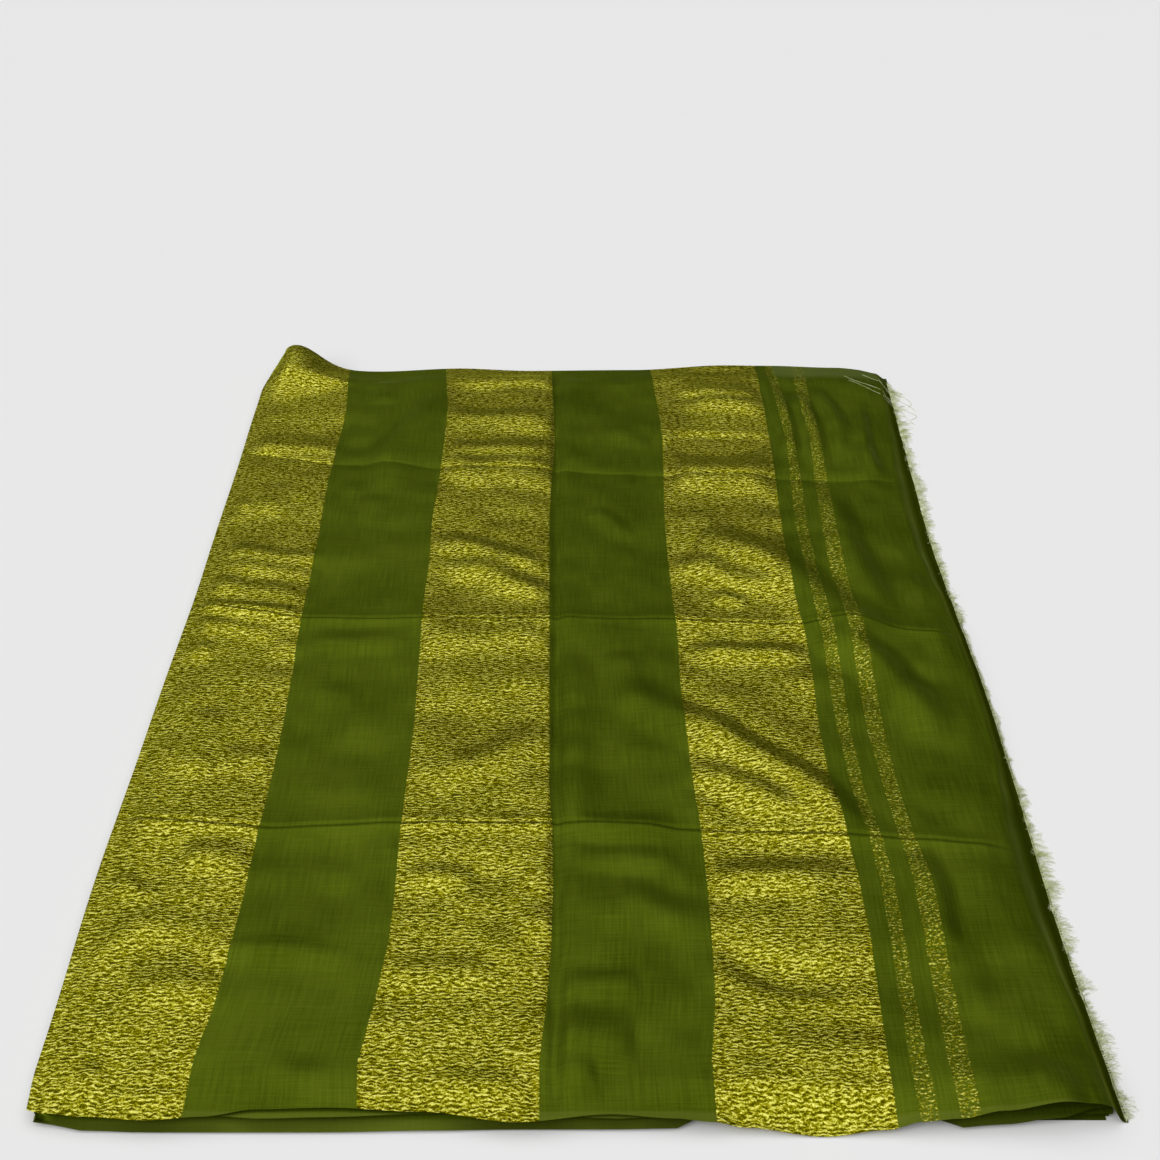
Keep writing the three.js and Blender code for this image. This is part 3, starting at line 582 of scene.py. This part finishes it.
def loom_x(x, y):
    """X as it was on the loom: the bands' edges, which wander on the folded cloth, run straight in it."""
    real = [np.interp(y, BAND_PATHS["y"], BAND_PATHS[f"e{i}"]) for i in range(len(BAND_EDGES))]
    real = [LEFT_X + 0 * y, *real, end_x(y)]
    loom = [LEFT_X, *BAND_EDGES, LOOM_END]
    result = np.where(x < LEFT_X, x, 0.0)
    for low, high, a, b in zip(real, real[1:], loom, loom[1:]):
        within = (x >= low) & (x <= high)
        result = np.where(within, a + (b - a) * (x - low) / np.maximum(high - low, 1e-6), result)
    return np.where(x > real[-1], loom[-1] + x - real[-1], result)


def make_mesh(name, points, faces, shift):
    mesh = bpy.data.meshes.new(name)
    mesh.from_pydata((points * MM + shift).tolist(), [], faces)
    mesh.polygons.foreach_set("use_smooth", np.ones(len(mesh.polygons), bool))
    mesh.update()
    obj = bpy.data.objects.new(name, mesh)
    bpy.context.scene.collection.objects.link(obj)
    return obj


def set_uv(obj, name, per_vertex):
    layer = obj.data.uv_layers.new(name=name)
    index = np.zeros(len(obj.data.loops), int)
    obj.data.loops.foreach_get("vertex_index", index)
    layer.data.foreach_set("uv", per_vertex[index].astype(np.float32).ravel())


def make_cloth(shift):
    """The whole cloth as one sheet, with a UV map of each point's place on the loom."""
    columns = cloth_columns()
    top_count = LEFT_COLUMNS + RIGHT_COLUMNS + BROW_COLUMNS + FLAP_COLUMNS
    points, faces, loom = [], [], []
    start = 0
    middle_before = None
    length = 0.0
    for number, (rows, place) in enumerate(columns):
        middle = place[np.argmin(np.abs(rows - MIDDLE_GUIDE))]
        if number < top_count:
            along_length = loom_x(place[:, 0], place[:, 1])
            length = loom_x(middle[0:1], middle[1:2])[0]
        else:
            length -= np.linalg.norm(middle - middle_before)
            along_length = np.full(len(rows), length)
        middle_before = middle
        points.append(place)
        loom.append(np.stack([along_length, place[:, 1]], -1))
        if number:
            before = columns[number - 1][0]
            join_columns(before, rows, start - len(before), start, faces)
        start += len(rows)
    obj = make_mesh("sari_silk", np.vstack(points), faces, shift)
    set_uv(obj, "loom", np.vstack(loom) * MM)
    return obj


# The layout's origin in the row frame, from the cloth's lowest corner in each
LAYOUT_LOW = np.array((-357.93, -550.93, 0.0)) * MM
cloth_low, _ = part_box("sari_cloth")
shift = np.array(cloth_low) - LAYOUT_LOW
shift[2] = 0

cloth = make_cloth(shift)


# Loose threads at the cut end: their number and size, and the height of their middle over the floor
THREAD_COUNT, THREAD_SEED = 3400, 7
THREAD_RADIUS, THREAD_TAPER, THREAD_STEPS = 0.15, 0.4, 5
THREAD_ROOT, THREAD_FLOOR = 1.5, 0.55
THREAD_INSET, THREAD_SCATTER = 8, 0.3

# How the threads lean in clumps, how far each tuft reaches, and how each thread bends and lifts
CLUMP_COUNT, CLUMP_LEAN = 130, 0.75
TUFT_COUNT, TUFT_REACH = 90, (0.15, 1.15)
THREAD_LENGTHS = (0.3, 1.15)
THREAD_BEND, THREAD_LIFT, THREAD_TURN = 0.9, 0.8, 0.12
LIFT_SHARE = 0.5
TUBE_ANGLES = (math.pi / 2, 3.67, 5.76)
TUBE_SIDES = len(TUBE_ANGLES)

# Longer strands at the far right corner, and where past the cut end they drop to the floor
STRAND_RADIUS, STRAND_STEPS = 0.2, 5
STRAND_DROP_FROM, STRAND_DROP_TO = -4, 8
FAR_CORNER_STRANDS = (
    ((302, 520), (323, 498), (346, 482), (358, 470), (370, 457), (361, 446)),
    ((345, 520), (357, 494), (366, 480), (371, 468)),
    ((338, 532), (351, 514), (363, 502), (369, 488), (364, 478)),
    ((299, 533), (313, 514), (335, 502), (350, 485), (356, 470)),
    ((320, 540), (336, 528), (352, 522), (362, 512)),
    ((344, 500), (354, 476), (358, 452), (365, 436)),
)


def tube(centre, across, radius):
    """Points of a thin three-sided tube: its rings along a path."""
    corners = [across * math.cos(a) + np.array((0, 0, math.sin(a))) for a in TUBE_ANGLES]
    return np.stack([centre + radius * corner for corner in corners], 1).reshape(-1, 3)


def tube_faces(base, steps):
    """Side faces of a tube whose points are numbered from a base."""
    faces = []
    for step in range(steps):
        ring = base + step * TUBE_SIDES
        for corner in range(TUBE_SIDES):
            a, b = ring + corner, ring + (corner + 1) % TUBE_SIDES
            faces.append((a, b, b + TUBE_SIDES, a + TUBE_SIDES))
    return faces


def strand(points):
    """A longer loose strand that lies on the cloth and falls from its edge to the floor."""
    path = spline(points, STRAND_STEPS)
    x, y = path.T
    end = end_x(y)
    on_cloth = np.maximum(layer_z(0, np.minimum(x, end), y) + STRAND_RADIUS, THREAD_FLOOR)
    z = on_cloth * (1 - smooth(end + STRAND_DROP_FROM, end + STRAND_DROP_TO, x))
    centre = np.stack([x, y, np.maximum(z, THREAD_FLOOR)], -1)
    direction = np.gradient(path, axis=0)
    direction /= np.hypot(*direction.T)[:, None]
    across = np.stack([-direction[:, 1], direction[:, 0], 0 * x], -1)
    return tube(centre, across, STRAND_RADIUS)


def loose_thread(rng, y, lean, reach):
    """One short thread that leaves the cut end at a Y and lies on the floor."""
    length = along(RIGHT_SIDE, "y", "threads", y) * reach * rng.uniform(*THREAD_LENGTHS)
    bend = rng.normal(0, THREAD_BEND)
    lift = abs(rng.normal(0, THREAD_LIFT))
    t = np.linspace(0, 1, THREAD_STEPS + 1)
    angle = lean + bend * t + rng.normal(0, THREAD_TURN)
    step = (length + THREAD_ROOT) / THREAD_STEPS
    out = np.concatenate([[0], np.cumsum(np.cos(angle[1:]) * step)])
    aside = np.concatenate([[0], np.cumsum(np.sin(angle[1:]) * step)])
    z = THREAD_FLOOR + lift * np.sin(np.pi * t) * smooth(0, LIFT_SHARE, t)
    centre = np.stack([end_x(y) - THREAD_ROOT + out, y + aside, z], -1)
    across = np.stack([-np.sin(angle), np.cos(angle), 0 * angle], -1)
    return tube(centre, across, THREAD_RADIUS * (1 - THREAD_TAPER * t)[:, None])


def make_threads(shift):
    rng = np.random.default_rng(THREAD_SEED)
    ys = np.linspace(NEAR_Y + THREAD_INSET, FAR_Y - THREAD_INSET, THREAD_COUNT)
    ys = ys + rng.normal(0, THREAD_SCATTER, THREAD_COUNT)
    leans = rng.normal(0, CLUMP_LEAN, CLUMP_COUNT)
    leans = np.interp(ys, np.linspace(NEAR_Y, FAR_Y, CLUMP_COUNT), leans)
    reaches = rng.uniform(*TUFT_REACH, TUFT_COUNT)
    reaches = np.interp(ys, np.linspace(NEAR_Y, FAR_Y, TUFT_COUNT), reaches)
    tubes = [loose_thread(rng, *values) for values in zip(ys, leans, reaches)]
    tubes += [strand(points) for points in FAR_CORNER_STRANDS]
    faces, base = [], 0
    for points in tubes:
        faces += tube_faces(base, len(points) // TUBE_SIDES - 1)
        base += len(points)
    return make_mesh("pallu_threads", np.vstack(tubes), faces, shift)


threads = make_threads(shift)


# Unevenness of the weave: lumps per metre along and across the cloth, fine detail, distortion
WEAVE = {
    "band_edge": (120, 900, 1.0, 0.0),
    "ripple_bend": (140, 110, 2.0, 0.0),
    "ripple_patch": (240, 460, 2.0, 0.5),
    "fleck_glint": (900, 1150, 1.0, 0.0),
    "stripe_dots": (420, 560, 1.0, 0.0),
    "weft_slub": (620, 26, 2.0, 0.0),
    "warp_slub": (30, 760, 2.0, 0.0),
    "cloud": (14, 12, 2.0, 0.0),
    "grain": (1400, 1400, 1.0, 0.0),
}


class Graph:
    """A material's node tree, with short calls that add nodes and join them."""

    def __init__(self, name):
        self.material = bpy.data.materials.new(name)
        self.material.use_nodes = True
        self.tree = self.material.node_tree
        self.shader = self.tree.nodes["Principled BSDF"]

    def add(self, kind, inputs=None, **settings):
        node = self.tree.nodes.new("ShaderNode" + kind)
        for key, value in settings.items():
            setattr(node, key, value)
        for key, value in (inputs or {}).items():
            self.give(node, key, value)
        return node

    def give(self, node, key, value):
        """Set a node's input to a value, or join it to another node's output."""
        if isinstance(value, bpy.types.NodeSocket):
            self.tree.links.new(value, node.inputs[key])
        else:
            node.inputs[key].default_value = value

    def shade(self, **inputs):
        """Give the shader its inputs, with underscores for the spaces in their names."""
        for key, value in inputs.items():
            self.give(self.shader, key.replace("_", " "), value)

    def math(self, operation, a, b=0.0, c=0.0, clamp=False):
        return self.add("Math", {0: a, 1: b, 2: c}, operation=operation, use_clamp=clamp).outputs[0]

    def ramp(self, value, stops, interpolation="LINEAR"):
        node = self.add("ValToRGB", {0: value})
        node.color_ramp.interpolation = interpolation
        elements = node.color_ramp.elements
        while len(elements) < len(stops):
            elements.new(0.5)
        for element, (position, colour) in zip(elements, stops):
            element.position = position
            element.color = (*colour, 1) if hasattr(colour, "__len__") else (colour, colour, colour, 1)
        return node.outputs[0]

    def strip(self, place, start, length, stops):
        """A ramp over a stretch of the cloth: its start and its length in metres."""
        return self.ramp(self.math("MULTIPLY_ADD", place, 1 / length, -start / length), stops)

    def mix(self, share, a, b):
        return self.add("Mix", {0: share, 6: a, 7: b}, data_type="RGBA").outputs[2]

    def noise(self, vector, scale, detail, distortion=0.0):
        inputs = {"Vector": vector, "Scale": scale, "Detail": detail, "Distortion": distortion}
        return self.add("TexNoise", inputs).outputs[0]

    def weave(self, uv, name):
        """One kind of the cloth's unevenness, from 0 to 1."""
        lengthwise, crosswise, detail, distortion = WEAVE[name]
        place = self.add("Mapping", {"Vector": uv, "Scale": (lengthwise, crosswise, 1)}).outputs[0]
        return self.noise(place, 1.0, detail, distortion)


# Bands: the loom's X from -0.36 m to 0.36 m as 0 to 1, how ragged their edges are, and the broken gold
# of the thin stripes
BAND_LOW, BAND_HIGH = -0.36, 0.36
BAND_RAGGED = 0.0026
PALLU_FROM, THIN_STRIPES_FROM = -0.363, 0.206
STRIPE_DOTS = ((0.46, 0.06), (0.62, 0.85))

# Gold weft: its ripples, the patches in which they break up, its flecks and its colours. The colours hold
# painted highlights on the crests, painted glints in the flecks, and painted shade in the hollows beside
# the green warp there
RIPPLES_PER_METRE, RIPPLE_BEND, RIPPLE_SHARE = 300, 3.2, 0.5
PATCH_CONTRAST, PATCH_BASE = 2.2, -0.85
FLECK_GLINT_CONTRAST = 1.5
GOLD_STOPS = (
    (0.0, (0.062, 0.057, 0.0)),
    (0.35, (0.175, 0.164, 0.0)),
    (0.62, (0.43, 0.407, 0.012)),
    (1.0, (0.92, 0.89, 0.19)),
)

# Green ground: shares of its slubs, clouds and grain, its colours, and the paler part at the left
WEFT_SLUB, WARP_SLUB, CLOUD, GRAIN = 0.26, 0.22, 0.3, 0.22
GREEN_STOPS = ((0.36, (0.043, 0.065, 0.0008)), (0.64, (0.106, 0.146, 0.007)))
LIT_GREEN_TO, LIT_GREEN_BY = -0.12, 0.03

# Edges: start and length of each strip in metres, its strength along it, and its colour
NEAR_STRIP = (-0.548, 0.05, ((0.0, 1.0), (0.15, 0.9), (0.19, 0.0)))
NEAR_STRIP_SHARE, NEAR_STRIP_COLOUR = 0.5, (0.135, 0.165, 0.020, 1)
FAR_STRIP = (0.524, 0.04, ((0.0, 0.0), (0.3, 0.55)))
FAR_STRIP_FROM, FAR_STRIP_COLOUR = 0.222, (0.17, 0.22, 0.055, 1)
# Cut end: a strip that is frayed and rougher, and whose darker colour is painted shade where it falls
# away from the light
FRAYED_SHADED_END = (0.331, 0.025, ((0.0, 0.0), (0.3, 1.0)))
END_SHADE_SHARE, END_SHADE_COLOUR = 0.6, (0.02, 0.026, 0.0, 1)

# Gloss and relief of the silk
GREEN_METAL, GOLD_MORE_METAL, FRAYED_MORE_METAL = 0.6, 0.3, 0.35
GREEN_ROUGHNESS, GOLD_ROUGHNESS, FRAYED_MORE_ROUGHNESS = 0.45, 0.34, 0.35
SILK_SPECULAR, SILK_TINT = 0.12, (0.85, 0.9, 0.08, 1)
SLUB_HEIGHT, BUMP_STRENGTH, BUMP_DISTANCE = 0.2, 0.36, 0.0008

# Loose threads
THREAD_TONES_PER_METRE = 140.0
THREAD_STOPS = ((0.3, (0.36, 0.41, 0.15)), (0.5, (0.58, 0.63, 0.34)), (0.7, (0.80, 0.82, 0.60)))
THREAD_ROUGHNESS = 0.7


def gold_share(g, uv, u):
    """Share of gold weft: whole on the wide bands, broken into flecks on the thin stripes."""
    ragged = g.math("SUBTRACT", g.weave(uv, "band_edge"), 0.5)
    place = g.math("MULTIPLY_ADD", ragged, BAND_RAGGED, u)
    position = g.add("MapRange", {0: place, 1: BAND_LOW, 2: BAND_HIGH, 3: 0.0, 4: 1.0}).outputs[0]
    edges = [(x * MM - BAND_LOW) / (BAND_HIGH - BAND_LOW) for x in BAND_EDGES]
    stops = [(0.0, 1.0)] + [(edge, float(i % 2)) for i, edge in enumerate(edges)]
    on_pallu = g.math("GREATER_THAN", u, PALLU_FROM)
    band = g.math("MULTIPLY", g.ramp(position, stops, "CONSTANT"), on_pallu)
    dots = g.ramp(g.weave(uv, "stripe_dots"), STRIPE_DOTS)
    cover = g.mix(g.math("GREATER_THAN", u, THIN_STRIPES_FROM), (1, 1, 1, 1), dots)
    return g.math("MULTIPLY", band, cover)


def gold_crest(g, uv, v):
    """Ripples of the gold weft: short wavy crests that run along the cloth."""
    bend = g.math("MULTIPLY", g.weave(uv, "ripple_bend"), RIPPLE_BEND)
    turns = g.math("MULTIPLY_ADD", v, RIPPLES_PER_METRE, bend)
    wave = g.math("SINE", g.math("MULTIPLY", turns, 2 * math.pi))
    ripple = g.math("MULTIPLY_ADD", wave, 0.5, 0.5)
    patch = g.math("MULTIPLY_ADD", g.weave(uv, "ripple_patch"), PATCH_CONTRAST, PATCH_BASE)
    return g.math("ADD", g.math("MULTIPLY", ripple, RIPPLE_SHARE), patch, clamp=True)


def gold_colour_with_painted_shine(g, uv, crest):
    fleck_glint = g.math("SUBTRACT", g.weave(uv, "fleck_glint"), 0.5)
    # Partly the gold's own colour and partly painted light: ripple crests and flecks turn pale as painted
    # highlights and glints, and the hollows turn dark olive as painted shade over the green warp
    return g.ramp(g.math("MULTIPLY_ADD", fleck_glint, FLECK_GLINT_CONTRAST, crest), GOLD_STOPS)


def green_slub(g, uv):
    """Thicker threads of the green ground, both ways."""
    weft = g.math("MULTIPLY", g.weave(uv, "weft_slub"), WEFT_SLUB)
    warp = g.math("MULTIPLY", g.weave(uv, "warp_slub"), WARP_SLUB)
    return g.math("ADD", weft, warp)


def green_colour(g, uv, u, v, slub):
    """Cloudy green ground with a paler selvedge along its near side."""
    cloudy = g.math("MULTIPLY_ADD", g.weave(uv, "cloud"), CLOUD, slub)
    tone = g.math("ADD", cloudy, g.math("MULTIPLY", g.weave(uv, "grain"), GRAIN))
    tone = g.math("MULTIPLY_ADD", g.math("LESS_THAN", u, LIT_GREEN_TO), LIT_GREEN_BY, tone)
    selvedge = g.math("MULTIPLY", g.strip(v, *NEAR_STRIP), NEAR_STRIP_SHARE)
    return g.mix(selvedge, g.ramp(tone, GREEN_STOPS), NEAR_STRIP_COLOUR)


def tussar_material():
    g = Graph("tussar_silk")
    uv = g.add("UVMap", uv_map="loom").outputs[0]
    parts = g.add("SeparateXYZ", {0: uv})
    u, v = parts.outputs[0], parts.outputs[1]
    gold, crest, slub = gold_share(g, uv, u), gold_crest(g, uv, v), green_slub(g, uv)
    colour = g.mix(gold, green_colour(g, uv, u, v, slub), gold_colour_with_painted_shine(g, uv, crest))

    # Paler single layer along the far side at the right
    at_right = g.math("GREATER_THAN", u, FAR_STRIP_FROM)
    far_strip = g.math("MULTIPLY", g.strip(v, *FAR_STRIP), at_right)
    colour = g.mix(far_strip, colour, FAR_STRIP_COLOUR)

    # Cut end: frayed and rougher, and darkened with painted shade where it falls to the floor
    frayed_shaded_end = g.strip(u, *FRAYED_SHADED_END)
    colour = g.mix(g.math("MULTIPLY", frayed_shaded_end, END_SHADE_SHARE), colour, END_SHADE_COLOUR)

    height = g.mix(gold, g.math("MULTIPLY", slub, SLUB_HEIGHT), crest)
    relief = {"Height": height, "Strength": BUMP_STRENGTH, "Distance": BUMP_DISTANCE}
    normal = g.add("Bump", relief).outputs[0]
    metal = g.math("MULTIPLY_ADD", gold, GOLD_MORE_METAL, GREEN_METAL)
    metal = g.math("MULTIPLY_ADD", frayed_shaded_end, FRAYED_MORE_METAL, metal)
    rough = g.add("MapRange", {0: gold, 3: GREEN_ROUGHNESS, 4: GOLD_ROUGHNESS}).outputs[0]
    rough = g.math("MULTIPLY_ADD", frayed_shaded_end, FRAYED_MORE_ROUGHNESS, rough)
    g.shade(Base_Color=colour, Normal=normal, Metallic=metal, Roughness=rough,
            Specular_IOR_Level=SILK_SPECULAR, Specular_Tint=SILK_TINT)
    return g.material


def thread_material():
    g = Graph("loose_threads")
    place = g.add("TexCoord").outputs["Object"]
    colour = g.ramp(g.noise(place, THREAD_TONES_PER_METRE, 2.0), THREAD_STOPS)
    g.shade(Base_Color=colour, Roughness=THREAD_ROUGHNESS)
    return g.material


cloth.data.materials.append(tussar_material())
threads.data.materials.append(thread_material())
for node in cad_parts.values():
    node.data.materials.clear()
    node.data.materials.append(cloth.data.materials[0])

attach(cloth, "root")
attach(threads, "root")
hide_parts("sari_cloth")
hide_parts("pallu_fringe")


# Floor, half its side in metres
FLOOR_REACH = 8.0
FLOOR_COLOUR = (0.82, 0.82, 0.82, 1)
FLOOR_ROUGHNESS, FLOOR_SPECULAR = 0.9, 0.1

# Studio: a ceiling that is brightest towards one side, and a broad lamp from the near left
SUN_FROM = (-1.0, -1.0, 1.15)
SUN_STRENGTH, SUN_ANGLE = 1.2, 36
CEILING_SIDE = (-0.21, -0.14, 1.0)
CEILING_STOPS = ((0.36, 0.02), (0.70, 0.96), (0.84, 1.0), (1.0, 0.78))
CEILING_STRENGTH = 1.14

# Camera: lens and sensor in millimetres, place in metres from the layout's origin, degrees downward
CAMERA_LENS, CAMERA_SENSOR = 56.8, 36
CAMERA_BACK, CAMERA_HEIGHT = 1.347, 0.911
CAMERA_DOWN = 31.9


def add_object(name, data):
    obj = bpy.data.objects.new(name, data)
    bpy.context.scene.collection.objects.link(obj)
    return obj


def make_floor():
    mesh = bpy.data.meshes.new("floor")
    corners = [(x * FLOOR_REACH, y * FLOOR_REACH, 0) for x, y in ((-1, -1), (1, -1), (1, 1), (-1, 1))]
    mesh.from_pydata(corners, [], [(0, 1, 2, 3)])
    g = Graph("pale_floor")
    g.shade(Base_Color=FLOOR_COLOUR, Roughness=FLOOR_ROUGHNESS, Specular_IOR_Level=FLOOR_SPECULAR)
    mesh.materials.append(g.material)
    add_object("floor", mesh)


def make_ceiling():
    world = bpy.data.worlds.new("studio")
    bpy.context.scene.world = world
    world.use_nodes = True
    nodes, links = world.node_tree.nodes, world.node_tree.links
    direction = nodes.new("ShaderNodeTexCoord")
    toward = nodes.new("ShaderNodeVectorMath")
    toward.operation = "DOT_PRODUCT"
    toward.inputs[1].default_value = Vector(CEILING_SIDE).normalized()
    ramp = nodes.new("ShaderNodeValToRGB")
    ramp.color_ramp.interpolation = "EASE"
    elements = ramp.color_ramp.elements
    while len(elements) < len(CEILING_STOPS):
        elements.new(0.5)
    for element, (position, grey) in zip(elements, CEILING_STOPS):
        element.position = position
        element.color = (grey, grey, grey, 1)
    links.new(direction.outputs["Generated"], toward.inputs[0])
    links.new(toward.outputs["Value"], ramp.inputs[0])
    links.new(ramp.outputs[0], nodes["Background"].inputs["Color"])
    nodes["Background"].inputs["Strength"].default_value = CEILING_STRENGTH


def make_lamp():
    light = bpy.data.lights.new("key", "SUN")
    light.energy = SUN_STRENGTH
    light.angle = math.radians(SUN_ANGLE)
    lamp = add_object("key", light)
    lamp.location = SUN_FROM
    lamp.rotation_euler = (-Vector(SUN_FROM)).to_track_quat("-Z", "Y").to_euler()


def make_camera(shift):
    data = bpy.data.cameras.new("camera")
    data.lens = CAMERA_LENS
    data.sensor_width = CAMERA_SENSOR
    data.sensor_fit = "HORIZONTAL"
    camera = add_object("camera", data)
    camera.location = (shift[0], shift[1] - CAMERA_BACK, CAMERA_HEIGHT)
    camera.rotation_euler = (math.radians(90 - CAMERA_DOWN), 0, 0)
    bpy.context.scene.camera = camera


make_floor()
make_ceiling()
make_lamp()
make_camera(shift)
bpy.context.scene.view_settings.view_transform = "Standard"
